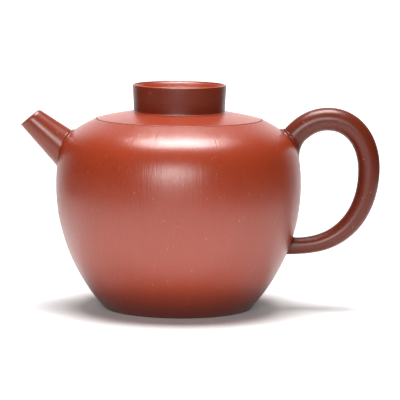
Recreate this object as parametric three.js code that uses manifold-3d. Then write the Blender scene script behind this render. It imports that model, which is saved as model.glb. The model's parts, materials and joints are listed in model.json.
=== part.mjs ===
import * as THREE from 'three';
import { mergeVertices } from 'three/addons/utils/BufferGeometryUtils.js';
import Module from 'manifold-3d';

// A hand-built clay teapot. Lengths are in millimetres and +Z is up. The origin is on the body's
// axis, on the surface that the pot stands on. The spout points to -X and the handle to +X.

// Body: its outer outline climbs from the base to the belly, then turns in to the mouth.
const BASE_RADIUS = 28.4;
const BELLY_RADIUS = 48;
const BELLY_HEIGHT = 48.4;
const MOUTH_RADIUS = 32.4;
const MOUTH_HEIGHT = 74.5;
const WALL = 3;

// Where the body's clay pieces meet, as shares of the outer outline's length.
const BASE_SEAM = 0.046;
const SHOULDER_SEAM = 0.91;
const SEAT_SEAM = 0.94;

// The wall stands on the base on a widened foot, which joins its inner surface at this share.
const FOOT_WIDTH = 4.2;
const FOOT_SEAM = 0.066;

// Ledge under the mouth that the lid rests on.
const SEAT_HEIGHT = 71;
const SEAT_RADIUS = 28.6;
const SEAT_THICKNESS = 3.4;
const SEAT_CHAMFER = 1;

// Lid, with a running clearance all round and under it.
const LID_CLEARANCE = 0.3;
const LID_RADIUS = MOUTH_RADIUS - LID_CLEARANCE;
const LID_REST_GAP = 0.1;
const LID_UNDERSIDE = SEAT_HEIGHT + LID_REST_GAP;
const LID_APEX = 78.5;
const LID_THICKNESS = 3.4;
const AIR_HOLE_RADIUS = 1.3;
const FLANGE_OUTER_RADIUS = 28;
const FLANGE_INNER_RADIUS = 25.4;
const FLANGE_TAPER = 0.3;
const FLANGE_BOTTOM = 64.6;

// Knob: a wide upright ring with a round rim.
const KNOB_TOP = 87.9;
const KNOB_RIM_RADIUS = 18.3;
const KNOB_RIM_THICKNESS = 1.5;
const KNOB_WAIST_RADIUS = 17.9;
const KNOB_WAIST_HEIGHT = 80.5;
const KNOB_FOOT_OUTER_RADIUS = 18.2;
const KNOB_FOOT_INNER_RADIUS = 15.6;
const KNOB_FOOT_FILLET = 0.6;

// Spout: a straight cone whose mouth is cut flatter than square to its axis.
const SPOUT_TIP = new THREE.Vector3(-58.4, 0, 74.5);
const SPOUT_RISE = THREE.MathUtils.degToRad(40.5);
const SPOUT_MOUTH_TILT = THREE.MathUtils.degToRad(39.5);
const SPOUT_TIP_RADIUS = 4.65;
const SPOUT_TIP_BORE = 3.1;
const SPOUT_LENGTH = 17.3;
const SPOUT_ROOT_RADIUS = 7.1;
const SPOUT_ROOT_BORE = 5.2;
const SPOUT_SPARE_LENGTH = 8;

// Strainer: a small dome with holes, behind the spout's hole in the wall.
const STRAINER_RADIUS = 6.8;
const STRAINER_WALL = 1.4;
const STRAINER_HOLE_RADIUS = 0.8;
const STRAINER_SKIRT = 5;
const STRAINER_DEPTH = SPOUT_LENGTH + 3.1;
const STRAINER_RINGS = [
  { holes: 1, lean: 0 },
  { holes: 6, lean: THREE.MathUtils.degToRad(28) },
  { holes: 12, lean: THREE.MathUtils.degToRad(56) },
];

// Handle: its centre line in the XZ plane, root to crown to back to tail, and its thickness. The
// first and last points are inside the body, which the handle is cut to.
const HANDLE_ROOT = new THREE.Vector3(40.2, 0, 62.8);
const HANDLE_CROWN = new THREE.Vector3(58.3, 0, 74.85);
const HANDLE_BACK = new THREE.Vector3(74.5, 0, 54.9);
const HANDLE_TAIL = new THREE.Vector3(41, 0, 25.5);
const HANDLE_THICK = 9.1;
const HANDLE_THIN = 5.9;
const HANDLE_TAPER_START = 0.24;
const HANDLE_TAPER_POWER = 1.66;

// Gap that a piece keeps to the neighbour it was cut to.
const CUT_GAP = 0.3;

// How finely the curved surfaces are divided.
const OUTLINE_STEPS = 20;
const DOME_STEP = 9;
const ROUND_STEPS = 6;
const TURNED_SEGMENTS = 64;
const SPOUT_SEGMENTS = 28;
const STRAINER_SEGMENTS = 18;
const DRILL_SEGMENTS = 6;
const HANDLE_STEPS = 36;
const HANDLE_SIDES = 18;

const wasm = await Module();
wasm.setup();

const bodyOutline = makeBodyOutline();

function makeBodyOutline() {
  const flank = new THREE.CubicBezierCurve(
    new THREE.Vector2(BASE_RADIUS, 0),
    new THREE.Vector2(37.8, 9.2),
    new THREE.Vector2(BELLY_RADIUS, 27.4),
    new THREE.Vector2(BELLY_RADIUS, BELLY_HEIGHT),
  );
  const shoulder = new THREE.CubicBezierCurve(
    new THREE.Vector2(BELLY_RADIUS, BELLY_HEIGHT),
    new THREE.Vector2(BELLY_RADIUS, 67),
    new THREE.Vector2(43, 68.9),
    new THREE.Vector2(MOUTH_RADIUS, MOUTH_HEIGHT),
  );
  const outline = new THREE.CurvePath();
  outline.add(flank);
  outline.add(shoulder);
  return outline;
}

// A point at a share of the body's outline, moved towards the inside by inset.
function outlinePoint(share, inset) {
  const point = bodyOutline.getPoint(share);
  const along = bodyOutline.getTangent(share);
  return new THREE.Vector2(point.x - along.y * inset, point.y + along.x * inset);
}

function outlineStretch(from, to, inset) {
  const steps = Math.ceil(Math.abs(to - from) * OUTLINE_STEPS);
  const points = [];
  for (let step = 0; step <= steps; step++) {
    points.push(outlinePoint(from + (to - from) * (step / steps), inset));
  }
  return points;
}

// A solid of revolution about Z. Its profile, as radius and height, runs counterclockwise and
// closes on itself, unless it starts and ends on the axis.
function turned(profile, segments = TURNED_SEGMENTS) {
  const points = profile.map(([radius, height]) => new THREE.Vector2(radius, height));
  if (points[0].x > 0) {
    points.push(points[0].clone());
  }
  return new THREE.LatheGeometry(points, segments).rotateX(Math.PI / 2);
}

// A cylinder about Z, centred on the origin.
function zCylinder(radius, length, segments) {
  return new THREE.CylinderGeometry(radius, radius, length, segments).rotateX(Math.PI / 2);
}

function asPairs(points) {
  return points.map((point) => [point.x, point.y]);
}

// A round arc about a centre, from one angle to another, as radius and height.
function arc(centreRadius, centreHeight, radius, from, to) {
  const points = [];
  for (let step = 0; step <= ROUND_STEPS; step++) {
    const angle = from + (to - from) * (step / ROUND_STEPS);
    points.push([centreRadius + radius * Math.cos(angle), centreHeight + radius * Math.sin(angle)]);
  }
  return points;
}

// The whole space inside the body's outline, moved inwards by inset, as one closed blank.
function bodyBlank(inset) {
  const outline = asPairs(outlineStretch(0, 1, inset));
  const bottom = outline[0][1];
  const top = outline[outline.length - 1][1];
  return turned([[0, bottom], ...outline, [0, top]]);
}

function toSolid(geometry) {
  const bare = geometry.clone();
  bare.deleteAttribute('normal');
  bare.deleteAttribute('uv');
  const merged = mergeVertices(bare);
  const corners = [];
  for (let corner = 0; corner < merged.index.count; corner += 3) {
    const [a, b, c] = merged.index.array.slice(corner, corner + 3);
    if (a !== b && b !== c && c !== a) {
      corners.push(a, b, c);
    }
  }
  const mesh = new wasm.Mesh({
    numProp: 3,
    vertProperties: new Float32Array(merged.getAttribute('position').array),
    triVerts: new Uint32Array(corners),
  });
  return new wasm.Manifold(mesh);
}

function toGeometry(solid) {
  const mesh = solid.getMesh();
  const geometry = new THREE.BufferGeometry();
  geometry.setAttribute('position', new THREE.BufferAttribute(mesh.vertProperties, 3));
  geometry.setIndex(new THREE.BufferAttribute(mesh.triVerts, 1));
  geometry.computeVertexNormals();
  return geometry;
}

// Height of the lid's domed top at a radius.
function lidTop(radius) {
  const share = radius / LID_RADIUS;
  return LID_APEX - (LID_APEX - MOUTH_HEIGHT) * share * share;
}

// Points on the lid's domed top, or dropped below it, from one radius to another.
function lidDome(from, to, drop = 0) {
  const steps = Math.ceil(Math.abs(to - from) / DOME_STEP);
  const points = [];
  for (let step = 0; step <= steps; step++) {
    const radius = from + (to - from) * (step / steps);
    points.push([radius, lidTop(radius) - drop]);
  }
  return points;
}

function baseDisc() {
  const edge = asPairs(outlineStretch(0, BASE_SEAM, 0));
  const top = outlinePoint(BASE_SEAM, 0).y;
  return turned([[0, 0], ...edge, [0, top]]);
}

// Turns a shape made about its own Z axis into the spout's axis, depth 0 being at the tip.
function alongSpout(geometry, depth = 0) {
  const inwards = new THREE.Vector3(Math.cos(SPOUT_RISE), 0, -Math.sin(SPOUT_RISE));
  const turn = new THREE.Quaternion().setFromUnitVectors(new THREE.Vector3(0, 0, 1), inwards);
  const place = SPOUT_TIP.clone().addScaledVector(inwards, depth);
  return geometry.applyQuaternion(turn).translate(place.x, place.y, place.z);
}

function bodyWall() {
  const outside = asPairs(outlineStretch(BASE_SEAM, SHOULDER_SEAM, 0));
  const inside = asPairs(outlineStretch(SHOULDER_SEAM, FOOT_SEAM, WALL));
  const foot = [outside[0][0] - FOOT_WIDTH, outside[0][1]];
  const wall = toSolid(turned([...outside, ...inside, foot]));
  const drill = zCylinder(SPOUT_ROOT_BORE, 4 * WALL, SPOUT_SEGMENTS);
  const hole = toSolid(alongSpout(drill, SPOUT_LENGTH + WALL / 2));
  return toGeometry(wall.subtract(hole));
}

function shoulderDisc() {
  const outside = asPairs(outlineStretch(SHOULDER_SEAM, 1, 0));
  const inside = asPairs(outlineStretch(SEAT_SEAM, SHOULDER_SEAM, WALL));
  return turned([...outside, [MOUTH_RADIUS, SEAT_HEIGHT], ...inside]);
}

function lidSeat() {
  const joint = outlinePoint(SEAT_SEAM, WALL);
  const bottom = SEAT_HEIGHT - SEAT_THICKNESS;
  return turned([
    [SEAT_RADIUS, bottom],
    [joint.x - SEAT_CHAMFER, bottom],
    [joint.x, joint.y],
    [MOUTH_RADIUS, SEAT_HEIGHT],
    [SEAT_RADIUS, SEAT_HEIGHT],
  ]);
}

function spout() {
  const flare = (SPOUT_ROOT_RADIUS - SPOUT_TIP_RADIUS) / SPOUT_LENGTH;
  const boreFlare = (SPOUT_ROOT_BORE - SPOUT_TIP_BORE) / SPOUT_LENGTH;
  const front = -SPOUT_SPARE_LENGTH;
  const back = SPOUT_LENGTH + SPOUT_SPARE_LENGTH;
  const cone = turned([
    [SPOUT_TIP_BORE + boreFlare * front, front],
    [SPOUT_TIP_RADIUS + flare * front, front],
    [SPOUT_TIP_RADIUS + flare * back, back],
    [SPOUT_TIP_BORE + boreFlare * back, back],
  ], SPOUT_SEGMENTS);
  const cutterSide = 6 * SPOUT_TIP_RADIUS;
  const cutter = new THREE.BoxGeometry(cutterSide, cutterSide, cutterSide);
  cutter.translate(0, 0, cutterSide / 2).rotateY(-SPOUT_MOUTH_TILT);
  cutter.translate(SPOUT_TIP.x, SPOUT_TIP.y, SPOUT_TIP.z);
  const blank = toSolid(bodyBlank(-CUT_GAP));
  return toGeometry(toSolid(alongSpout(cone)).subtract(toSolid(cutter)).subtract(blank));
}

// A dome with a straight skirt below it, as a profile from the skirt's edge up to the axis.
function domeProfile(radius) {
  const round = arc(0, 0, radius, 0, Math.PI / 2);
  const apex = [0, radius];
  return [[radius, -STRAINER_SKIRT], ...round.slice(0, -1), apex];
}

function spoutStrainer() {
  const outside = domeProfile(STRAINER_RADIUS);
  const inside = domeProfile(STRAINER_RADIUS - STRAINER_WALL).reverse();
  let solid = toSolid(alongSpout(turned([...inside, ...outside], STRAINER_SEGMENTS), STRAINER_DEPTH));
  for (const ring of STRAINER_RINGS) {
    for (let hole = 0; hole < ring.holes; hole++) {
      const drill = zCylinder(STRAINER_HOLE_RADIUS, 2 * STRAINER_RADIUS, DRILL_SEGMENTS);
      drill.translate(0, 0, STRAINER_RADIUS).rotateY(ring.lean);
      drill.rotateZ((hole / ring.holes) * 2 * Math.PI);
      solid = solid.subtract(toSolid(alongSpout(drill, STRAINER_DEPTH)));
    }
  }
  return toGeometry(solid.intersect(toSolid(bodyBlank(WALL + CUT_GAP))));
}

function handleCentreLine() {
  const line = new THREE.CurvePath();
  line.add(new THREE.CubicBezierCurve3(
    HANDLE_ROOT,
    new THREE.Vector3(44.1, 0, 67.1),
    new THREE.Vector3(48.8, 0, HANDLE_CROWN.z),
    HANDLE_CROWN,
  ));
  line.add(new THREE.CubicBezierCurve3(
    HANDLE_CROWN,
    new THREE.Vector3(68.1, 0, HANDLE_CROWN.z),
    new THREE.Vector3(HANDLE_BACK.x, 0, 66.3),
    HANDLE_BACK,
  ));
  line.add(new THREE.CubicBezierCurve3(
    HANDLE_BACK,
    new THREE.Vector3(HANDLE_BACK.x, 0, 36.3),
    new THREE.Vector3(62.2, 0, 22),
    HANDLE_TAIL,
  ));
  return line;
}

function handleRadius(share) {
  const taper = Math.max(0, (share - HANDLE_TAPER_START) / (1 - HANDLE_TAPER_START));
  return (HANDLE_THICK - (HANDLE_THICK - HANDLE_THIN) * taper ** HANDLE_TAPER_POWER) / 2;
}

// A round tube with closed ends along a line in the XZ plane, whose radius changes on the way.
function taperedTube(line, radiusAt, steps, sides) {
  const sideways = new THREE.Vector3(0, 1, 0);
  const positions = [];
  const corners = [];
  for (let step = 0; step <= steps; step++) {
    const share = step / steps;
    const centre = line.getPoint(share);
    const outwards = new THREE.Vector3().crossVectors(line.getTangent(share), sideways);
    for (let side = 0; side < sides; side++) {
      const turn = (side / sides) * 2 * Math.PI;
      const point = centre.clone();
      point.addScaledVector(outwards, radiusAt(share) * Math.cos(turn));
      point.addScaledVector(sideways, radiusAt(share) * Math.sin(turn));
      positions.push(...point.toArray());
    }
  }
  for (let step = 0; step < steps; step++) {
    for (let side = 0; side < sides; side++) {
      const here = step * sides + side;
      const beside = step * sides + (side + 1) % sides;
      corners.push(here, here + sides, beside, beside, here + sides, beside + sides);
    }
  }
  const lastRing = steps * sides;
  for (let side = 1; side < sides - 1; side++) {
    corners.push(0, side, side + 1);
    corners.push(lastRing, lastRing + side + 1, lastRing + side);
  }
  const geometry = new THREE.BufferGeometry();
  geometry.setAttribute('position', new THREE.Float32BufferAttribute(positions, 3));
  geometry.setIndex(corners);
  return geometry;
}

function handle() {
  const loop = taperedTube(handleCentreLine(), handleRadius, HANDLE_STEPS, HANDLE_SIDES);
  return toGeometry(toSolid(loop).subtract(toSolid(bodyBlank(-CUT_GAP))));
}

function lidPlate() {
  return turned([
    ...lidDome(AIR_HOLE_RADIUS, FLANGE_INNER_RADIUS, LID_THICKNESS),
    [FLANGE_INNER_RADIUS, LID_UNDERSIDE],
    [FLANGE_OUTER_RADIUS, LID_UNDERSIDE],
    [LID_RADIUS, LID_UNDERSIDE],
    ...lidDome(LID_RADIUS, KNOB_FOOT_OUTER_RADIUS),
    ...lidDome(KNOB_FOOT_INNER_RADIUS, AIR_HOLE_RADIUS),
  ]);
}

function lidFlange() {
  return turned([
    [FLANGE_INNER_RADIUS, FLANGE_BOTTOM],
    [FLANGE_OUTER_RADIUS - FLANGE_TAPER, FLANGE_BOTTOM],
    [FLANGE_OUTER_RADIUS, LID_UNDERSIDE],
    [FLANGE_INNER_RADIUS, LID_UNDERSIDE],
  ]);
}

function knobRing() {
  const rim = KNOB_RIM_THICKNESS / 2;
  return turned([
    [KNOB_FOOT_INNER_RADIUS, lidTop(KNOB_FOOT_INNER_RADIUS)],
    [KNOB_FOOT_OUTER_RADIUS, lidTop(KNOB_FOOT_OUTER_RADIUS)],
    [KNOB_WAIST_RADIUS, lidTop(KNOB_WAIST_RADIUS) + KNOB_FOOT_FILLET],
    [KNOB_WAIST_RADIUS, KNOB_WAIST_HEIGHT],
    ...arc(KNOB_RIM_RADIUS - rim, KNOB_TOP - rim, rim, 0, Math.PI),
  ]);
}

function piece(name, geometry, colour) {
  const material = new THREE.MeshStandardMaterial({ color: colour, roughness: 0.4, metalness: 0 });
  const mesh = new THREE.Mesh(geometry, material);
  mesh.name = name;
  return mesh;
}

const pot = new THREE.Group();
pot.add(
  piece('base_disc', baseDisc(), 0x7a2c18),
  piece('body_wall', bodyWall(), 0x9c4026),
  piece('shoulder_disc', shoulderDisc(), 0xa5482b),
  piece('lid_seat', lidSeat(), 0x8a3820),
  piece('spout', spout(), 0x9c4026),
  piece('spout_strainer', spoutStrainer(), 0x8a3820),
  piece('handle', handle(), 0x9c4026),
);

const lid = new THREE.Group();
lid.add(
  piece('lid_plate', lidPlate(), 0xa5482b),
  piece('lid_flange', lidFlange(), 0x8a3820),
  piece('knob_ring', knobRing(), 0x7a2c18),
);

const teapot = new THREE.Group();
teapot.add(pot, lid);

export default teapot;
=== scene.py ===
"""Looks of a clay teapot: fine surfaces, burnished clay and a plain studio, built on the CAD frame.

Lengths are in metres, +Z is up, the spout points to -X and the handle to +X. The camera looks along +Y.
"""

import json
import math

import bmesh
import bpy
import numpy as np
from mathutils import Matrix, Vector, noise


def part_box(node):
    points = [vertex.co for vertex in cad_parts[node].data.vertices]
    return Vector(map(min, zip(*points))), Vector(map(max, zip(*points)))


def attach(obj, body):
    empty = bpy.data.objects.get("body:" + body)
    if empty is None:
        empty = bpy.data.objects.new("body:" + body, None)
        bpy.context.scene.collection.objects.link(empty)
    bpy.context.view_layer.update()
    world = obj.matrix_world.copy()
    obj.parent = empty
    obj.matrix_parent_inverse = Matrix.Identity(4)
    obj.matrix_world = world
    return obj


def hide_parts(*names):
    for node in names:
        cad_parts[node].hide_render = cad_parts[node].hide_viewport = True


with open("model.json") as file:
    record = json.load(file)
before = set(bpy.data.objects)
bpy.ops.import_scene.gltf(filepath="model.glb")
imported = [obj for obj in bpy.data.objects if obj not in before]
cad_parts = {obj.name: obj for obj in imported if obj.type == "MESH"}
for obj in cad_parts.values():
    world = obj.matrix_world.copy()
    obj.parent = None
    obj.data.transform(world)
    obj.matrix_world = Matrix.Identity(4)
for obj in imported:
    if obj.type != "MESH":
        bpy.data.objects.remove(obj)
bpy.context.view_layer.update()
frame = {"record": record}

MM = 0.001
UP = Vector((0, 0, 1))

# Sizes that the frame gives.
BASE_SEAM_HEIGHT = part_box("base_disc")[1].z
SHOULDER_SEAM_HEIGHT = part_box("body_wall")[1].z
MOUTH_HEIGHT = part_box("shoulder_disc")[1].z
SEAT_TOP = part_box("lid_seat")[1].z
SEAT_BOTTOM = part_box("lid_seat")[0].z
LID_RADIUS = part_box("lid_plate")[1].x
LID_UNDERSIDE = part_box("lid_plate")[0].z
FLANGE_OUTER_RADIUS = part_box("lid_flange")[1].x
FLANGE_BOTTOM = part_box("lid_flange")[0].z
KNOB_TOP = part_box("knob_ring")[1].z
KNOB_RIM_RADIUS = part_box("knob_ring")[1].x

# Sizes inside those boxes, the same as in the CAD.
BASE_RADIUS = 28.4 * MM
BELLY_RADIUS = 48 * MM
BELLY_HEIGHT = 48.4 * MM
MOUTH_RADIUS = 32.4 * MM
WALL = 3 * MM
FOOT_WIDTH = 4.2 * MM
SEAT_RADIUS = 28.6 * MM
LID_APEX = 78.5 * MM
LID_THICKNESS = 3.4 * MM
AIR_HOLE_RADIUS = 1.3 * MM
FLANGE_INNER_RADIUS = 25.4 * MM
KNOB_WAIST_RADIUS = 17.9 * MM
KNOB_WAIST_HEIGHT = 80.5 * MM
KNOB_FOOT_OUTER_RADIUS = 18.2 * MM
KNOB_FOOT_INNER_RADIUS = 15.6 * MM

SPOUT_TIP = Vector((-58.4, 0, 74.5)) * MM
SPOUT_RISE = math.radians(40.5)
SPOUT_MOUTH_LEAN = math.radians(10)
SPOUT_TIP_RADIUS = 4.65 * MM
SPOUT_TIP_BORE = 3.1 * MM
SPOUT_LENGTH = 17.3 * MM
SPOUT_ROOT_RADIUS = 7.1 * MM
SPOUT_ROOT_BORE = 5.2 * MM
SPOUT_HOLE_RADIUS = SPOUT_ROOT_BORE + 0.1 * MM
SPOUT_INWARDS = Vector((math.cos(SPOUT_RISE), 0, -math.sin(SPOUT_RISE)))
SPOUT_UPWARDS = Vector((math.sin(SPOUT_RISE), 0, math.cos(SPOUT_RISE)))
SIDEWAYS = Vector((0, 1, 0))

STRAINER_RADIUS = 6.8 * MM
STRAINER_WALL = 1.4 * MM
STRAINER_HOLE_RADIUS = 0.8 * MM
STRAINER_DEPTH = SPOUT_LENGTH + 3.1 * MM
STRAINER_SKIRT = 5 * MM
STRAINER_SINK = WALL - 0.4 * MM
# The strainer's rings of holes, as (count, lean from the spout's axis), and where a drill starts and
# ends, as shares of the strainer's radius.
STRAINER_RINGS = [(1, 0), (6, math.radians(28)), (12, math.radians(56))]
DRILL_START = 0.62
DRILL_END = 1.3

# Corners of the handle's centre line, as (x, height) in millimetres.
HANDLE_ROOT = (40.2, 62.8)
HANDLE_CROWN = (58.3, 74.85)
HANDLE_BACK = (74.5, 54.9)
HANDLE_TAIL = (41, 25.5)

HANDLE_THICK = 9.1 * MM
HANDLE_THIN = 5.9 * MM
HANDLE_TAPER_START = 0.24
HANDLE_TAPER_POWER = 1.66

# Sizes that are finer here than in the CAD: the knob's thin rim and the handle's thickened lower end.
KNOB_RIM_THICKNESS = 0.9 * MM
HEEL_LENGTH = 12 * MM
HEEL_SWELL = 1.3 * MM

# Where the shoulder's inside ends on the ledge ring, and the middle of the body.
SHOULDER_INNER_TOP = 72.06 * MM
BODY_MIDDLE = Vector((0, 0, BELLY_HEIGHT))

# Control points of the body's outline, as (radius, height).
FLANK_CURVE = [
    (BASE_RADIUS, 0),
    (37.8 * MM, 9.2 * MM),
    (BELLY_RADIUS, 27.4 * MM),
    (BELLY_RADIUS, BELLY_HEIGHT),
]
SHOULDER_CURVE = [
    (BELLY_RADIUS, BELLY_HEIGHT),
    (BELLY_RADIUS, 67 * MM),
    (43 * MM, 68.9 * MM),
    (MOUTH_RADIUS, MOUTH_HEIGHT),
]

# Unevenness of the hand-built surface, in millimetres, and how many times it varies in a metre.
BROAD_WOBBLE = 0.07
BROAD_WOBBLE_SCALE = 22
FINE_WOBBLE = 0.02
FINE_WOBBLE_SCALE = 60
WOBBLE_FADE_HEIGHT = 8 * MM

# How finely the surfaces are divided.
TURNED_SIDES = 256
CORNER_STEPS = 6
SPOUT_SIDES = 128
HANDLE_SIDES = 96
SKIRT_STEPS = 40
CUTTER_SIDES = 96
DRILL_SIDES = 24
DOME_STEPS = 20
RIM_STEPS = 16
SEARCH_STEPS = 30
BODY_CURVE_STEPS = 400
OUTLINE_STEPS = 2400
HANDLE_CURVE_STEPS = 200
HANDLE_LINE_STEPS = 1200
SHARP_ANGLE = math.radians(35)

# The view is through a long lens, from a little above.
CAMERA_PLACE = Vector((0, -1.084, 0.1755))
CAMERA_TARGET = Vector((0.00845, 0, 0.0425))
CAMERA_ROLL = math.radians(0.63)
CAMERA_LENS = 250.7
CAMERA_SENSOR_WIDTH = 36

TABLE_RADIUS = 0.3
TABLE_SIDES = 96
TABLE_COLOUR = (0.8, 0.8, 0.8, 1)


# ---------------------------------------------------------------- lines

def turns(sides):
    """Evenly spaced angles round a full circle."""
    return [2 * math.pi * side / sides for side in range(sides)]


def bezier(points, count):
    """Points along a cubic curve, ends included."""
    a, b, c, d = (np.array(point, float) for point in points)
    t = np.linspace(0, 1, count)[:, None]
    return (1 - t) ** 3 * a + 3 * (1 - t) ** 2 * t * b + 3 * (1 - t) * t ** 2 * c + t ** 3 * d


def travelled(points):
    """How far along a line each of its points is."""
    lengths = np.linalg.norm(np.diff(points, axis=0), axis=1)
    return np.concatenate([[0], np.cumsum(lengths)])


def along_line(points, places):
    """The points of a line at some distances along it."""
    distances = travelled(points)
    return np.stack([np.interp(places, distances, points[:, k]) for k in range(points.shape[1])], 1)


def even_steps(points, count):
    return along_line(points, np.linspace(0, travelled(points)[-1], count))


def left_normals(points):
    """Unit normals on the left of a flat line."""
    along = np.gradient(points, axis=0)
    along /= np.linalg.norm(along, axis=1)[:, None]
    return np.stack([-along[:, 1], along[:, 0]], 1)


def body_outline():
    """The body's outer outline from the base to the mouth, as (radius, height) points."""
    flank = bezier(FLANK_CURVE, BODY_CURVE_STEPS)
    shoulder = bezier(SHOULDER_CURVE, BODY_CURVE_STEPS)
    return even_steps(np.concatenate([flank, shoulder[1:]]), OUTLINE_STEPS)


def handle_line():
    """The handle's centre line in the XZ plane, from root to tail."""
    curves = [
        [HANDLE_ROOT, (44.1, 67.1), (48.8, HANDLE_CROWN[1]), HANDLE_CROWN],
        [HANDLE_CROWN, (68.1, HANDLE_CROWN[1]), (HANDLE_BACK[0], 66.3), HANDLE_BACK],
        [HANDLE_BACK, (HANDLE_BACK[0], 36.3), (62.2, 22), HANDLE_TAIL],
    ]
    rise, bend, fall = (bezier(curve, HANDLE_CURVE_STEPS) for curve in curves)
    return even_steps(np.concatenate([rise, bend[1:], fall[1:]]) * MM, HANDLE_LINE_STEPS)


OUTLINE = body_outline()
OUTLINE_NORMALS = -left_normals(OUTLINE)
HANDLE_LINE = handle_line()
HANDLE_NORMALS = left_normals(HANDLE_LINE)
HANDLE_PLACES = travelled(HANDLE_LINE)
HANDLE_LENGTH = HANDLE_PLACES[-1]


def outline_between(low, high, count, inset=0):
    """A stretch of the body's outline between two heights, moved inwards by inset."""
    places = np.interp([low, high], OUTLINE[:, 1], travelled(OUTLINE))
    shares = (1 - np.cos(np.pi * np.linspace(0, 1, count))) / 2
    spots = places[0] + shares * (places[1] - places[0])
    line = along_line(OUTLINE, spots)
    return line + left_normals(line) * inset if inset else line


def lid_top(radius):
    """Height of the lid's domed top at a radius."""
    return LID_APEX - (LID_APEX - MOUTH_HEIGHT) * (radius / LID_RADIUS) ** 2


def lid_dome(start, end, count, drop=0):
    """Points on the lid's domed top, or dropped below it, from one radius to another."""
    return [(radius, lid_top(radius) - drop, 0) for radius in np.linspace(start, end, count)]


def body_distance(point):
    """How far a point is outside the body's surface, and the surface's normal there."""
    gaps = np.array([math.hypot(point.x, point.y), point.z]) - OUTLINE
    nearest = int(np.argmin((gaps ** 2).sum(1)))
    outwards = OUTLINE_NORMALS[nearest]
    around = Vector((point.x, point.y, 0)).normalized()
    normal = around * outwards[0] + UP * outwards[1]
    return float(gaps[nearest] @ outwards), normal


# ---------------------------------------------------------------- meshes

def make_piece(name, verts, faces):
    mesh = bpy.data.meshes.new(name)
    mesh.from_pydata([tuple(vert) for vert in verts], [], faces)
    mesh.validate()
    bm = bmesh.new()
    bm.from_mesh(mesh)
    bmesh.ops.recalc_face_normals(bm, faces=bm.faces)
    bm.to_mesh(mesh)
    bm.free()
    mesh.shade_smooth()
    mesh.set_sharp_from_angle(angle=SHARP_ANGLE)
    piece = bpy.data.objects.new(name, mesh)
    bpy.context.scene.collection.objects.link(piece)
    return piece


def round_corners(profile):
    """Profile points (radius, height, corner radius), with an arc in place of each rounded corner."""
    rounded = []
    for index, (radius, height, corner) in enumerate(profile):
        here = Vector((radius, height))
        if corner == 0:
            rounded.append(here)
            continue
        before = Vector(profile[index - 1][:2]) - here
        after = Vector(profile[(index + 1) % len(profile)][:2]) - here
        half_turn = before.angle(after) / 2
        reach = min(corner / math.tan(half_turn), before.length * 0.49, after.length * 0.49)
        middle = (before.normalized() + after.normalized()).normalized()
        centre = here + middle * (reach / math.cos(half_turn))
        start = here + before.normalized() * reach - centre
        end = here + after.normalized() * reach - centre
        sweep = math.pi - 2 * half_turn
        for step in range(CORNER_STEPS + 1):
            share = step / CORNER_STEPS
            blend = start * math.sin((1 - share) * sweep) + end * math.sin(share * sweep)
            rounded.append(centre + blend / math.sin(sweep))
    return rounded


def bridge(rings, closed=False):
    """Faces between rings of vertex numbers, of which a ring of one is a point on the axis."""
    faces = []
    pairs = list(zip(rings, rings[1:]))
    if closed:
        pairs.append((rings[-1], rings[0]))
    for lower, upper in pairs:
        sides = max(len(lower), len(upper))
        for side in range(sides):
            after = (side + 1) % sides
            corners = [lower[side % len(lower)], lower[after % len(lower)]]
            corners += [upper[after % len(upper)], upper[side % len(upper)]]
            faces.append(tuple(dict.fromkeys(corners)))
    return faces


def loft(name, rows, closed=False):
    """A closed surface through rows of points. A row of one point closes an end."""
    verts = []
    rings = []
    for row in rows:
        rings.append(list(range(len(verts), len(verts) + len(row))))
        verts += row
    return make_piece(name, verts, bridge(rings, closed))


def turned(name, profile):
    """A closed solid of revolution. The profile closes on itself, or starts and ends on the axis."""
    rows = []
    for radius, height, *corner in profile:
        if radius < 1e-9:
            rows.append([Vector((0, 0, height))])
            continue
        rows.append([
            Vector((radius * math.cos(turn), radius * math.sin(turn), height)) for turn in turns(TURNED_SIDES)
        ])
    return loft(name, rows, closed=len(rows[0]) > 1)


def hand_wobble(point):
    """The slight unevenness of a hand-built surface, which fades to nothing at the flat base."""
    broad = noise.noise(point * BROAD_WOBBLE_SCALE + Vector((3, 7, 1)))
    fine = noise.noise(point * FINE_WOBBLE_SCALE + Vector((9, 2, 5)))
    fade = min(1, max(0, point.z / WOBBLE_FADE_HEIGHT))
    return (BROAD_WOBBLE * broad + FINE_WOBBLE * fine) * MM * fade


def press_by_hand(piece):
    """Moves each point away from the pot's middle, or to it, so that neighbours move alike."""
    for vertex in piece.data.vertices:
        vertex.co += (vertex.co - BODY_MIDDLE).normalized() * hand_wobble(vertex.co)


def cut(piece, cutter, operation):
    """Cuts a piece by another solid, which is used up."""
    modifier = piece.modifiers.new("cut", "BOOLEAN")
    modifier.object = cutter
    modifier.operation = operation
    modifier.solver = "EXACT"
    shape = piece.evaluated_get(bpy.context.evaluated_depsgraph_get())
    mesh = bpy.data.meshes.new_from_object(shape)
    piece.modifiers.clear()
    piece.data = mesh
    mesh.name = piece.name
    mesh.set_sharp_from_angle(angle=SHARP_ANGLE)
    bpy.data.objects.remove(cutter)


def along_spout(point):
    """A point given in the spout's own axes, whose Z runs inwards from the tip."""
    return SPOUT_TIP + SPOUT_UPWARDS * point.x + SIDEWAYS * point.y + SPOUT_INWARDS * point.z


def about_spout(radius, turn, depth):
    """A point about the spout's axis. At turn 0 it is on the upper side."""
    return along_spout(Vector((radius * math.cos(turn), radius * math.sin(turn), depth)))


def cone_rows(profile):
    """Rows about the spout's axis for a profile of (radius, depth)."""
    rows = []
    for radius, depth in profile:
        angles = turns(CUTTER_SIDES) if radius > 1e-9 else [0]
        rows.append([about_spout(radius, turn, depth) for turn in angles])
    return rows


# ---------------------------------------------------------------- pieces turned about the pot's axis

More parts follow.
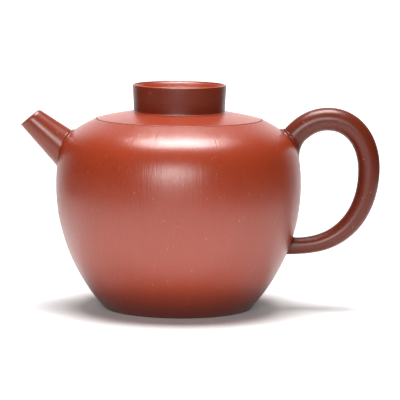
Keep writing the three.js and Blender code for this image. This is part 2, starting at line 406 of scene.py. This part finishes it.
def base_disc():
    """The base, a little hollow underneath, so that the pot rests on a ring."""
    hollow = 0.2 * MM
    slope_start = 0.6
    slope_width = 0.22
    profile = [(0, hollow, 0), (BASE_RADIUS * slope_start / 2, hollow, 0)]
    for share in np.linspace(0, 1, 12):
        ease = share * share * (3 - 2 * share)
        profile.append((BASE_RADIUS * (slope_start + slope_width * share), hollow * (1 - ease), 0))
    profile.append((BASE_RADIUS, 0, 0.35 * MM))
    edge = outline_between(1.2 * MM, BASE_SEAM_HEIGHT, count=12)
    profile += [(radius, height, 0) for radius, height in edge]
    profile.append((0, BASE_SEAM_HEIGHT, 0))
    return turned("base_clay", round_corners(profile))


def body_wall():
    """The belly, with the hole that the spout's bore runs into."""
    outside = outline_between(BASE_SEAM_HEIGHT, SHOULDER_SEAM_HEIGHT, count=150)
    inside = outline_between(BASE_SEAM_HEIGHT * 1.5, SHOULDER_SEAM_HEIGHT, count=70, inset=WALL)[::-1]
    foot = (outside[0][0] - FOOT_WIDTH, outside[0][1])
    piece = turned("body_wall_clay", [*outside, *inside, foot])
    start = SPOUT_LENGTH - 2 * WALL
    end = SPOUT_LENGTH + 2.5 * WALL
    hole = [(0, start), (SPOUT_HOLE_RADIUS, start), (SPOUT_HOLE_RADIUS, end), (0, end)]
    cut(piece, loft("hole", cone_rows(hole)), "DIFFERENCE")
    return piece


def shoulder_inside():
    return outline_between(SHOULDER_SEAM_HEIGHT, SHOULDER_INNER_TOP, count=12, inset=WALL)


def shoulder_disc():
    """The shoulder, from the body's seam to the upright edge of the mouth."""
    outside = outline_between(SHOULDER_SEAM_HEIGHT, MOUTH_HEIGHT - 0.4 * MM, count=40)
    profile = [(radius, height, 0) for radius, height in outside]
    profile += [(MOUTH_RADIUS, MOUTH_HEIGHT, 0.3 * MM), (MOUTH_RADIUS, SEAT_TOP, 0)]
    profile += [(radius, height, 0) for radius, height in shoulder_inside()[::-1]]
    return turned("shoulder_clay", round_corners(profile))


def lid_seat():
    """The ledge under the mouth that the lid rests on."""
    joint = shoulder_inside()[-1]
    profile = [
        (SEAT_RADIUS, SEAT_BOTTOM, 0.6 * MM),
        (joint[0] - 1 * MM, SEAT_BOTTOM, 0.5 * MM),
        (joint[0], joint[1], 0),
        (MOUTH_RADIUS, SEAT_TOP, 0),
        (SEAT_RADIUS, SEAT_TOP, 0.4 * MM),
    ]
    return turned("lid_seat_clay", round_corners(profile))


def lid_plate():
    """The domed disc with the air hole in its middle."""
    edge = 0.3 * MM
    profile = [(AIR_HOLE_RADIUS, lid_top(AIR_HOLE_RADIUS) - LID_THICKNESS, 0.3 * MM)]
    profile += lid_dome(AIR_HOLE_RADIUS + 1 * MM, FLANGE_INNER_RADIUS, count=30, drop=LID_THICKNESS)
    profile += [(FLANGE_INNER_RADIUS, LID_UNDERSIDE, 0), (LID_RADIUS, LID_UNDERSIDE, 0.2 * MM)]
    profile.append((LID_RADIUS, lid_top(LID_RADIUS), edge))
    profile += lid_dome(LID_RADIUS - 3 * edge, AIR_HOLE_RADIUS + 1.4 * MM, count=90)
    profile.append((AIR_HOLE_RADIUS, lid_top(AIR_HOLE_RADIUS), 0.45 * MM))
    return turned("lid_plate_clay", round_corners(profile))


def lid_flange():
    """The ring under the lid that keeps it centred, a little narrower at the bottom."""
    taper = 0.3 * MM
    profile = [
        (FLANGE_INNER_RADIUS, FLANGE_BOTTOM, 0.7 * MM),
        (FLANGE_OUTER_RADIUS - taper, FLANGE_BOTTOM, 0.7 * MM),
        (FLANGE_OUTER_RADIUS, LID_UNDERSIDE, 0),
        (FLANGE_INNER_RADIUS, LID_UNDERSIDE, 0),
    ]
    return turned("lid_flange_clay", round_corners(profile))


def knob_ring():
    """A wide upright ring whose wall is drawn in above its foot and bevelled inside to a thin rim."""
    rim = KNOB_RIM_THICKNESS / 2
    foot = lid_top(KNOB_FOOT_OUTER_RADIUS)
    outer_rim = (KNOB_RIM_RADIUS, KNOB_TOP - rim)
    inner_rim = (KNOB_RIM_RADIUS - KNOB_RIM_THICKNESS, KNOB_TOP - rim)
    fillet = bezier([
        (KNOB_FOOT_OUTER_RADIUS + 0.15 * MM, foot - 0.06 * MM),
        (KNOB_WAIST_RADIUS + 0.12 * MM, foot + 0.02 * MM),
        (KNOB_WAIST_RADIUS, foot + 0.15 * MM),
        (KNOB_WAIST_RADIUS, foot + 0.6 * MM),
    ], count=8)
    outside = bezier([
        fillet[-1],
        (KNOB_WAIST_RADIUS, KNOB_WAIST_HEIGHT + 1 * MM),
        (KNOB_RIM_RADIUS - 0.06 * MM, KNOB_TOP - 4 * MM),
        outer_rim,
    ], count=40)
    inner_foot = (KNOB_FOOT_INNER_RADIUS - 0.7 * MM, lid_top(KNOB_FOOT_INNER_RADIUS) - 0.02 * MM)
    bevel_end = (KNOB_FOOT_INNER_RADIUS + 0.2 * MM, KNOB_TOP - 2.6 * MM)
    bevel = bezier([
        inner_rim,
        (inner_rim[0] - 0.7 * MM, inner_rim[1] - 0.6 * MM),
        (bevel_end[0] + 0.55 * MM, bevel_end[1] + 0.6 * MM),
        bevel_end,
    ], count=20)
    inside = bezier([
        bevel_end,
        (KNOB_FOOT_INNER_RADIUS - 0.1 * MM, KNOB_TOP - 3.4 * MM),
        (KNOB_FOOT_INNER_RADIUS + 0.2 * MM, lid_top(KNOB_FOOT_INNER_RADIUS) + 0.4 * MM),
        inner_foot,
    ], count=40)
    profile = [tuple(point) for point in np.concatenate([fillet, outside[1:]])]
    for step in range(1, RIM_STEPS):
        turn = math.pi * step / RIM_STEPS
        profile.append((
            KNOB_RIM_RADIUS - rim + rim * math.cos(turn),
            KNOB_TOP - rim + rim * math.sin(turn),
        ))
    profile += [tuple(point) for point in np.concatenate([bevel, inside[1:]])]
    profile.append((KNOB_FOOT_INNER_RADIUS - 0.5 * MM, inner_foot[1] - 0.5 * MM))
    profile.append((KNOB_FOOT_OUTER_RADIUS, foot - 0.5 * MM))
    return turned("knob_ring_clay", profile)


# ---------------------------------------------------------------- spout and handle

def spout_point(depth, turn):
    """A point on the spout's outer cone. At turn 0 it is on the upper side."""
    radius = SPOUT_TIP_RADIUS + (SPOUT_ROOT_RADIUS - SPOUT_TIP_RADIUS) * depth / SPOUT_LENGTH
    return about_spout(radius, turn, depth)


def bore_point(depth, turn, gap=0):
    """A point in the spout's bore, which runs on straight past the root, or a gap outside it."""
    radius = SPOUT_TIP_BORE + (SPOUT_ROOT_BORE - SPOUT_TIP_BORE) * min(depth / SPOUT_LENGTH, 1) + gap
    return about_spout(radius, turn, depth)


def handle_point(place, turn):
    """A point on the handle's side, a distance along its line. At turn 0 it is outside the loop."""
    share = place / HANDLE_LENGTH
    taper = max(0, (share - HANDLE_TAPER_START) / (1 - HANDLE_TAPER_START))
    radius = (HANDLE_THICK - (HANDLE_THICK - HANDLE_THIN) * taper ** HANDLE_TAPER_POWER) / 2
    heel = max(0, 1 - (HANDLE_LENGTH - place) / HEEL_LENGTH)
    radius += HEEL_SWELL * heel ** 2 * max(0, math.cos(turn))
    centre = [np.interp(place, HANDLE_PLACES, HANDLE_LINE[:, k]) for k in (0, 1)]
    outwards = Vector([np.interp(place, HANDLE_PLACES, HANDLE_NORMALS[:, k]) for k in (0, 1)]).normalized()
    side = Vector((outwards.x, 0, outwards.y)) * math.cos(turn) + SIDEWAYS * math.sin(turn)
    return Vector((centre[0], 0, centre[1])) + side * radius


def place_at_depth(point_at, turn, inner, outer, depth=0):
    """How far along a tube its side crosses the body's surface, or a depth under it."""
    for _ in range(SEARCH_STEPS):
        middle = (inner + outer) / 2
        if body_distance(point_at(middle, turn))[0] > -depth:
            outer = middle
        else:
            inner = middle
    return (inner + outer) / 2


def bump(place, middle, width):
    """A soft bump of height 1, which stands at middle."""
    return math.exp(-((place - middle) / width) ** 2)


def luted_root(point_at, turn, inner, outer, reach, relief):
    """A tube's side from where it leaves its luted join, down the join and just under the body's surface.

    inner and outer are places along the tube inside and outside the body, reach is the join's size and
    relief gives how far its surface stands out at a share of the way down."""
    probe = 0.1 * MM
    fullness = 0.6
    crossing = place_at_depth(point_at, turn, inner, outer)
    away = math.copysign(1, outer - inner)
    corner = point_at(crossing, turn)
    along = (point_at(crossing + away * probe, turn) - corner).normalized()
    axis = (point_at(crossing, turn) + point_at(crossing, turn + math.pi)) / 2
    normal = body_distance(corner)[1]
    spread = corner - axis
    spread = (spread - normal * spread.dot(normal)).normalized()
    top = point_at(crossing + away * reach, turn)
    bottom = corner + spread * reach
    distance, normal = body_distance(bottom)
    bottom -= normal * distance
    flat = (spread - normal * spread.dot(normal)).normalized()
    controls = [top, top - along * reach * fullness, bottom - flat * reach * fullness, bottom]
    curve = bezier(controls, SKIRT_STEPS + 1)
    tangents = np.gradient(curve, axis=0)
    points = []
    for step in range(SKIRT_STEPS + 1):
        share = step / SKIRT_STEPS
        tangent = Vector(tangents[step]).normalized()
        outwards = tangent.cross(along.cross(flat)).normalized()
        if outwards.dot(along + flat) < 0:
            outwards.negate()
        points.append(Vector(curve[step]) + outwards * relief(share))
    points.append(bottom + flat * 0.15 * MM - normal * 0.3 * MM)
    return points, crossing


def spout_reach(turn):
    """The spout's join is about twice as large on top as underneath."""
    upper = (1 + math.cos(turn)) / 2
    return (0.8 + 0.9 * upper) * MM


def spout_relief(turn):
    """A crisp incised line where the spout meets a soft collar, both of which fade underneath."""
    strength = min(1, max(0, 0.15 + 1.3 * math.cos(turn)))
    line_depth = 0.32
    collar_height = 0.1 + 0.22 * math.sin(turn) ** 2

    def relief(share):
        line = -line_depth * bump(share, middle=0.25, width=0.05)
        collar = collar_height * bump(share, middle=0.55, width=0.2)
        return strength * (line + collar) * MM
    return relief


def spout_lip(turn):
    """The mouth's edge from the bore to the outside, as points of the cone's cross-section."""
    edge = 0.5 * MM
    lean = math.tan(SPOUT_MOUTH_LEAN) * math.cos(turn)
    points = []
    for step in range(CORNER_STEPS + 1):
        angle = math.pi / 2 * step / CORNER_STEPS
        radius = SPOUT_TIP_BORE + edge * (1 - math.cos(angle))
        points.append((radius, radius * lean + edge * (1 - math.sin(angle))))
    for step in range(CORNER_STEPS + 1):
        angle = math.pi / 2 * step / CORNER_STEPS
        radius = SPOUT_TIP_RADIUS - edge * (1 - math.sin(angle))
        points.append((radius, radius * lean + edge * (1 - math.cos(angle))))
    return [about_spout(radius, turn, depth) for radius, depth in points]


def spout():
    """The spout as columns that run up the bore, over the lip, down the outside and back inside."""
    inner = SPOUT_LENGTH + 8 * MM
    outer = SPOUT_LENGTH - 6 * MM
    overlap = 0.05 * MM
    columns = []
    for turn in turns(SPOUT_SIDES):
        skirt, crossing = luted_root(spout_point, turn, inner, outer, spout_reach(turn), spout_relief(turn))
        bore_inner = place_at_depth(bore_point, turn, inner, outer, WALL)
        lip = spout_lip(turn)
        bore_start = (lip[0] - SPOUT_TIP).dot(SPOUT_INWARDS)
        cone_start = (lip[-1] - SPOUT_TIP).dot(SPOUT_INWARDS)
        cone_end = crossing - spout_reach(turn)
        column = [bore_point(depth, turn) for depth in np.linspace(bore_inner, bore_start, 40)[:-1]]
        column += lip
        column += [spout_point(depth, turn) for depth in np.linspace(cone_start, cone_end, 50)[1:-1]]
        column += skirt
        column.append(bore_point(crossing + 0.5 * MM, turn, overlap))
        column.append(bore_point(bore_inner, turn, overlap))
        columns.append(column)
    return loft("spout_clay", [list(row) for row in zip(*columns)], closed=True)


def upper_reach(turn):
    """The upper join is snug on top and draws out into a long taper underneath."""
    under = (1 - math.cos(turn)) / 2
    return (1.9 + 3.2 * under ** 3) * MM


def upper_relief(turn):
    """Two incised lines with a ridge between them, next to a soft collar. They fade underneath."""
    strength = min(1, max(0, 0.3 + 1.1 * math.cos(turn)))
    line_depth = 0.26
    line_width = 0.045
    ridge_height = 0.16
    collar_height = 0.22

    def relief(share):
        upper_line = bump(share, middle=0.16, width=line_width)
        lower_line = bump(share, middle=0.42, width=line_width)
        ridge = ridge_height * bump(share, middle=0.29, width=0.07)
        collar = collar_height * bump(share, middle=0.62, width=0.16)
        return strength * (-line_depth * (upper_line + lower_line) + ridge + collar) * MM
    return relief


def lower_reach(turn):
    """The lower join is small, and a little softer above. Turn 0 is underneath here."""
    above = (1 - math.cos(turn)) / 2
    return (0.5 + 0.8 * above) * MM


def lower_relief(turn):
    """The lower join has no lines and no collar."""
    return lambda share: 0


def handle():
    """The handle as columns that run from inside the upper join to inside the lower one."""
    upper_outer = 16 * MM
    lower_outer = HANDLE_LENGTH - 14 * MM
    columns = []
    for turn in turns(HANDLE_SIDES):
        upper, start = luted_root(
            handle_point, turn, 0, upper_outer, upper_reach(turn), upper_relief(turn)
        )
        lower, end = luted_root(
            handle_point, turn, HANDLE_LENGTH, lower_outer, lower_reach(turn), lower_relief(turn)
        )
        places = np.linspace(start + upper_reach(turn), end - lower_reach(turn), 260)[1:-1]
        columns.append(upper[::-1] + [handle_point(place, turn) for place in places] + lower)
    rows = [list(row) for row in zip(*columns)]
    upper_middle = sum(rows[0], Vector()) / HANDLE_SIDES
    lower_middle = sum(rows[-1], Vector()) / HANDLE_SIDES
    return loft("handle_clay", [[upper_middle], *rows, [lower_middle]])


def strainer_profile(radius):
    """A dome with a straight skirt towards the spout, in the spout's own axes."""
    points = [(radius, STRAINER_DEPTH - STRAINER_SKIRT)]
    for step in range(DOME_STEPS):
        turn = math.pi / 2 * step / DOME_STEPS
        points.append((radius * math.cos(turn), STRAINER_DEPTH + radius * math.sin(turn)))
    return points + [(0, STRAINER_DEPTH + radius)]


def drill_rows(lean, around):
    """A drill through the strainer's dome, leaning from the spout's axis, as rows of points."""
    direction = Vector((
        math.sin(lean) * math.cos(around),
        math.sin(lean) * math.sin(around),
        math.cos(lean),
    ))
    across = direction.orthogonal().normalized()
    over = direction.cross(across)
    rims = [across * math.cos(turn) + over * math.sin(turn) for turn in turns(DRILL_SIDES)]
    middle = Vector((0, 0, STRAINER_DEPTH))
    start = middle + direction * STRAINER_RADIUS * DRILL_START
    end = middle + direction * STRAINER_RADIUS * DRILL_END
    rows = [[along_spout(start)]]
    for centre in (start, end):
        rows.append([along_spout(centre + rim * STRAINER_HOLE_RADIUS) for rim in rims])
    rows.append([along_spout(end)])
    return rows


def spout_strainer():
    """A drilled dome, cut off where it would come through the body's wall."""
    outside = strainer_profile(STRAINER_RADIUS)
    inside = strainer_profile(STRAINER_RADIUS - STRAINER_WALL)[::-1]
    piece = loft("strainer_clay", cone_rows(inside + outside))
    for holes, lean in STRAINER_RINGS:
        for around in turns(holes):
            cut(piece, loft("drill", drill_rows(lean, around)), "DIFFERENCE")
    outline = outline_between(0, MOUTH_HEIGHT, 120, STRAINER_SINK)
    chamber = turned("chamber", [(0, outline[0][1]), *outline, (0, outline[-1][1])])
    cut(piece, chamber, "INTERSECT")
    return piece


def build_pieces():
    """Makes every piece and hands it to the frame, in place of the CAD node of the same name."""
    made = {
        "base_disc": base_disc(),
        "body_wall": body_wall(),
        "shoulder_disc": shoulder_disc(),
        "lid_seat": lid_seat(),
        "spout": spout(),
        "spout_strainer": spout_strainer(),
        "handle": handle(),
        "lid_plate": lid_plate(),
        "lid_flange": lid_flange(),
        "knob_ring": knob_ring(),
    }
    bodies = frame["record"]["behaviour"]["bodies"]
    for node, piece in made.items():
        press_by_hand(piece)
        body = next(name for name, nodes in bodies.items() if node in nodes)
        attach(piece, body)
        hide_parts(node)
    return made


pieces = build_pieces()


# ---------------------------------------------------------------- clay

SPECK_SPACING = 1.8 * MM
STROKE_CLIMB = 1.2

# Painted shade darkens the clay at the foot, for the contact shadow under the pot, fully up to the first
# height and faded out by the second.
FOOT_SHADE_HEIGHTS = (2 * MM, 15 * MM)

# A face counts as level, or as looking up, where the upright part of its normal is above these.
LEVEL_FACE = 0.8
UPWARD_FACE = 0.35


class Nodes:
    """A small helper that adds nodes to a tree and links them by socket name."""

    def __init__(self, tree):
        self.tree = tree

    def add(self, kind, inputs=None, **settings):
        node = self.tree.nodes.new(kind)
        for name, value in settings.items():
            setattr(node, name, value)
        for name, value in (inputs or {}).items():
            if isinstance(value, bpy.types.NodeSocket):
                self.tree.links.new(value, node.inputs[name])
            else:
                node.inputs[name].default_value = value
        return node

    def noise(self, vector, scale, detail, roughness):
        inputs = {"Vector": vector, "Scale": scale, "Detail": detail, "Roughness": roughness}
        return self.add("ShaderNodeTexNoise", inputs).outputs[0]

    def remap(self, value, low, high, to_low=0, to_high=1):
        inputs = {"Value": value, "From Min": low, "From Max": high, "To Min": to_low, "To Max": to_high}
        return self.add("ShaderNodeMapRange", inputs).outputs["Result"]

    def math(self, operation, first, second):
        return self.add("ShaderNodeMath", {0: first, 1: second}, operation=operation).outputs[0]

    def mix(self, factor, first, second):
        inputs = {0: factor, 6: first, 7: second}
        return self.add("ShaderNodeMix", inputs, data_type="RGBA").outputs[2]


def mineral_specks(nodes, tone):
    """Adds light mineral specks to a tone, a few of them showing in every square centimetre."""
    place = nodes.add("ShaderNodeTexCoord").outputs["Object"]
    cells = nodes.add("ShaderNodeTexVoronoi", {"Vector": place, "Scale": 1 / SPECK_SPACING})
    picked = nodes.add("ShaderNodeSeparateColor", {"Color": cells.outputs["Color"]})
    shown = nodes.remap(picked.outputs["Red"], low=0.4, high=0.8)
    size = nodes.remap(picked.outputs["Green"], low=0, high=1, to_low=0.04, to_high=0.11)
    near = nodes.math("LESS_THAN", cells.outputs["Distance"], size)
    share = nodes.math("MULTIPLY", nodes.math("MULTIPLY", near, shown), 0.5)
    return nodes.mix(share, tone, rgb(232, 176, 140))


def burnish_streaks(nodes, place):
    """Fine strokes that run up and down the body, left by the burnishing tool."""
    parts = nodes.add("ShaderNodeSeparateXYZ", {"Vector": place})
    flat = nodes.add("ShaderNodeCombineXYZ", {"X": parts.outputs["X"], "Y": parts.outputs["Y"]})
    around = nodes.add("ShaderNodeVectorMath", {0: flat.outputs[0]}, operation="NORMALIZE")
    climb = nodes.math("MULTIPLY", parts.outputs["Z"], STROKE_CLIMB)
    lift = nodes.add("ShaderNodeCombineXYZ", {"Z": climb})
    strokes = nodes.add("ShaderNodeVectorMath", {0: around.outputs[0], 1: lift.outputs[0]}, operation="ADD")
    return nodes.noise(strokes.outputs[0], scale=75, detail=4, roughness=0.6)


def clay(name, colour, roughness, grain_height, gloss=1.6, strokes_height=0, foot_shade=1):
    """Fired clay: clouds and mottle of the same tone, fine grain, and a sheen that varies with wear.

    gloss is the index of refraction and strokes_height the relief of the burnishing strokes, as a share
    of the grain's. The last argument is how dark the clay is at the foot, as painted shade for the contact
    shadow under the pot."""
    material = bpy.data.materials.new(name)
    material.use_nodes = True
    tree = material.node_tree
    nodes = Nodes(tree)
    shader = tree.nodes["Principled BSDF"]
    place = nodes.add("ShaderNodeTexCoord").outputs["Object"]
    strokes = burnish_streaks(nodes, place)
    clouds = nodes.noise(place, scale=28, detail=4, roughness=0.6)
    mottle = nodes.noise(place, scale=900, detail=4, roughness=0.75)
    dark_cloud = shade(colour, 0.93)
    light_cloud = shade(colour, 1.03)
    light_mottle = shade(colour, 1.4)
    dark_stroke = shade(colour, 0.8)
    tone = nodes.mix(nodes.remap(clouds, 0.3, 0.7), dark_cloud, light_cloud)
    tone = nodes.mix(nodes.remap(mottle, 0.35, 0.75, to_high=0.5), tone, light_mottle)
    tone = nodes.mix(nodes.remap(strokes, 0.4, 0.7, to_high=0.3), tone, dark_stroke)
    tone = mineral_specks(nodes, tone)
    # Painted shade: the colour darkens towards the foot, for the contact shadow under the pot.
    height_above_foot = nodes.add("ShaderNodeSeparateXYZ", {"Vector": place}).outputs["Z"]
    painted_foot_shade = nodes.remap(height_above_foot, *FOOT_SHADE_HEIGHTS, to_low=foot_shade, to_high=1)
    tone = nodes.add("ShaderNodeVectorMath", {0: tone, "Scale": painted_foot_shade}, operation="SCALE").outputs[0]
    tree.links.new(tone, shader.inputs["Base Color"])
    worn = nodes.noise(place, scale=90, detail=4, roughness=0.65)
    if strokes_height:
        worn = nodes.math("ADD", nodes.math("MULTIPLY", strokes, 0.5), nodes.math("MULTIPLY", worn, 0.5))
    sheen = nodes.remap(worn, 0.35, 0.65, roughness - 0.04, roughness + 0.04)
    tree.links.new(sheen, shader.inputs["Roughness"])
    grain = nodes.noise(place, scale=2600, detail=2, roughness=0.6)
    height = nodes.math("ADD", grain, nodes.math("MULTIPLY", strokes, strokes_height))
    relief = nodes.add("ShaderNodeBump", {"Height": height, "Strength": 0.5, "Distance": grain_height})
    tree.links.new(relief.outputs["Normal"], shader.inputs["Normal"])
    shader.inputs["IOR"].default_value = gloss
    return material


def shade(colour, amount):
    """The same colour, made darker or lighter."""
    return (*[min(1, part * amount) for part in colour[:3]], 1)


def linear_value(screen_value):
    """A screen value from 0 to 255 as the shader's linear value, by the sRGB curve."""
    share = screen_value / 255
    return ((share + 0.055) / 1.055) ** 2.4 if screen_value > 10 else share / 12.92


def rgb(red, green, blue):
    """A colour given as screen values."""
    return (linear_value(red), linear_value(green), linear_value(blue), 1)


def paint_faces(piece, material, is_painted):
    """Gives a second material to the faces that is_painted picks by centre and normal."""
    piece.data.materials.append(material)
    for face in piece.data.polygons:
        face.material_index = 1 if is_painted(face.center, face.normal) else 0


def is_inside_or_top(centre, normal):
    """Whether a face of a ring looks towards the pot's axis or upwards."""
    inwards = normal.x * centre.x + normal.y * centre.y < 0
    return inwards or normal.z > UPWARD_FACE


def is_in_chamber(centre, normal):
    """Whether a face lies more than half the wall's thickness under the body's surface."""
    return body_distance(centre)[0] < -0.5 * WALL


def is_level(centre, normal):
    return abs(normal.z) > LEVEL_FACE


def is_underside(centre, normal):
    return normal.z < -LEVEL_FACE


def dress_pieces():
    """Burnished clay outside, with darker copies of it as painted shade on the spout, knob and handle, and
    raw clay inside and underneath.
    """
    coarse = 0.055 * MM
    fine = 0.025 * MM
    # The body's clay carries the painted shade at the foot.
    burnished = clay("burnished_clay", rgb(136, 48, 24), 0.33, coarse, strokes_height=3, foot_shade=0.48)
    # Painted shade: the spout, knob and handle get darker copies of the burnished clay, for shade that the
    # lights do not give them.
    spout_shaded_clay = clay("spout_painted_shade_clay", rgb(116, 41, 21), 0.33, fine, gloss=1.5)
    knob_shaded_clay = clay("knob_painted_shade_clay", rgb(108, 39, 20), 0.34, fine, gloss=1.42, strokes_height=3)
    dark = clay("handle_painted_shade_clay", rgb(92, 32, 16), 0.35, fine, gloss=1.42)
    raw = clay("raw_clay", rgb(164, 82, 52), 0.75, 2 * coarse, gloss=1.45)
    clays = {"spout": spout_shaded_clay, "knob_ring": knob_shaded_clay, "handle": dark}
    clays.update({node: raw for node in ("lid_seat", "lid_flange", "spout_strainer")})
    for node, piece in pieces.items():
        piece.data.materials.append(clays.get(node, burnished))
    for node in ("body_wall", "shoulder_disc"):
        paint_faces(pieces[node], raw, is_in_chamber)
    paint_faces(pieces["base_disc"], raw, is_level)
    paint_faces(pieces["lid_plate"], raw, is_underside)
    # Painted light: the knob's inward and upward faces get the lighter burnished clay, so its bevel and rim
    # look lit against its shaded outer wall.
    paint_faces(pieces["knob_ring"], burnished, is_inside_or_top)


dress_pieces()


# ---------------------------------------------------------------- studio

def aim(thing, target, roll=0):
    """Turns a camera or light towards a target."""
    direction = target - thing.location
    turn = direction.to_track_quat("-Z", "Y").to_matrix().to_4x4()
    thing.matrix_world = Matrix.Translation(thing.location) @ turn @ Matrix.Rotation(roll, 4, "Z")


def add_camera():
    camera = bpy.data.objects.new("camera", bpy.data.cameras.new("camera"))
    camera.data.lens = CAMERA_LENS
    camera.data.sensor_width = CAMERA_SENSOR_WIDTH
    camera.location = CAMERA_PLACE
    bpy.context.scene.collection.objects.link(camera)
    aim(camera, CAMERA_TARGET, CAMERA_ROLL)
    bpy.context.scene.camera = camera


def add_softbox(name, place, target, width, depth, watts):
    """A rectangular light that the camera does not see."""
    light = bpy.data.lights.new(name, "AREA")
    light.shape = "RECTANGLE"
    light.size = width
    light.size_y = depth
    light.energy = watts
    thing = bpy.data.objects.new(name, light)
    thing.location = place
    thing.visible_camera = False
    bpy.context.scene.collection.objects.link(thing)
    aim(thing, target)


def add_glowing_card(name, left, right, front, back, brightness):
    """A white card that lies on the table and glows upwards. Its edges are at x and y values."""
    card_height = 0.5 * MM
    middle = Vector(((left + right) / 2, (front + back) / 2, card_height))
    width = right - left
    depth = back - front
    add_softbox(name, middle, middle + UP, width, depth, brightness * math.pi * width * depth)


def add_lights():
    """A softbox overhead, another beyond the camera, and two cards on the table that fill from below."""
    overhead = Vector((0, 0.015, 0.79))
    beyond_camera = Vector((-0.12, -1.3, 0.36))
    add_softbox("overhead_softbox", overhead, BODY_MIDDLE, width=0.5, depth=0.34, watts=12.2)
    add_softbox("front_softbox", beyond_camera, BODY_MIDDLE, width=0.75, depth=0.27, watts=12.5)
    add_glowing_card("front_card", left=-0.15, right=0.15, front=-0.24, back=-0.05, brightness=0.42)
    add_glowing_card("left_card", left=-0.3, right=-0.08, front=-0.15, back=0.1, brightness=0.2)


def add_floor():
    """A round table top under the pot."""
    edge = [(TABLE_RADIUS * math.cos(turn), TABLE_RADIUS * math.sin(turn), 0) for turn in turns(TABLE_SIDES)]
    mesh = bpy.data.meshes.new("table")
    mesh.from_pydata(edge, [], [tuple(range(TABLE_SIDES))])
    table = bpy.data.objects.new("table", mesh)
    bpy.context.scene.collection.objects.link(table)
    material = bpy.data.materials.new("table_white")
    material.use_nodes = True
    shader = material.node_tree.nodes["Principled BSDF"]
    shader.inputs["Base Color"].default_value = TABLE_COLOUR
    shader.inputs["Roughness"].default_value = 0.9
    mesh.materials.append(material)


def add_world():
    """White to the camera. Its light comes only from behind the pot, and the rest of the room is dark."""
    world = bpy.data.worlds.new("studio")
    world.use_nodes = True
    bpy.context.scene.world = world
    tree = world.node_tree
    nodes = Nodes(tree)
    direction = nodes.add("ShaderNodeTexCoord").outputs["Generated"]
    parts = nodes.add("ShaderNodeSeparateXYZ", {"Vector": direction})
    behind = nodes.remap(parts.outputs["Y"], low=0.6, high=1.0, to_low=0.0, to_high=1.8)
    is_camera = nodes.add("ShaderNodeLightPath").outputs["Is Camera Ray"]
    strength = nodes.math("MAXIMUM", behind, is_camera)
    background = tree.nodes["Background"]
    background.inputs["Color"].default_value = (1, 1, 1, 1)
    tree.links.new(strength, background.inputs["Strength"])


add_camera()
add_floor()
add_world()
add_lights()
bpy.context.scene.view_settings.view_transform = "Standard"
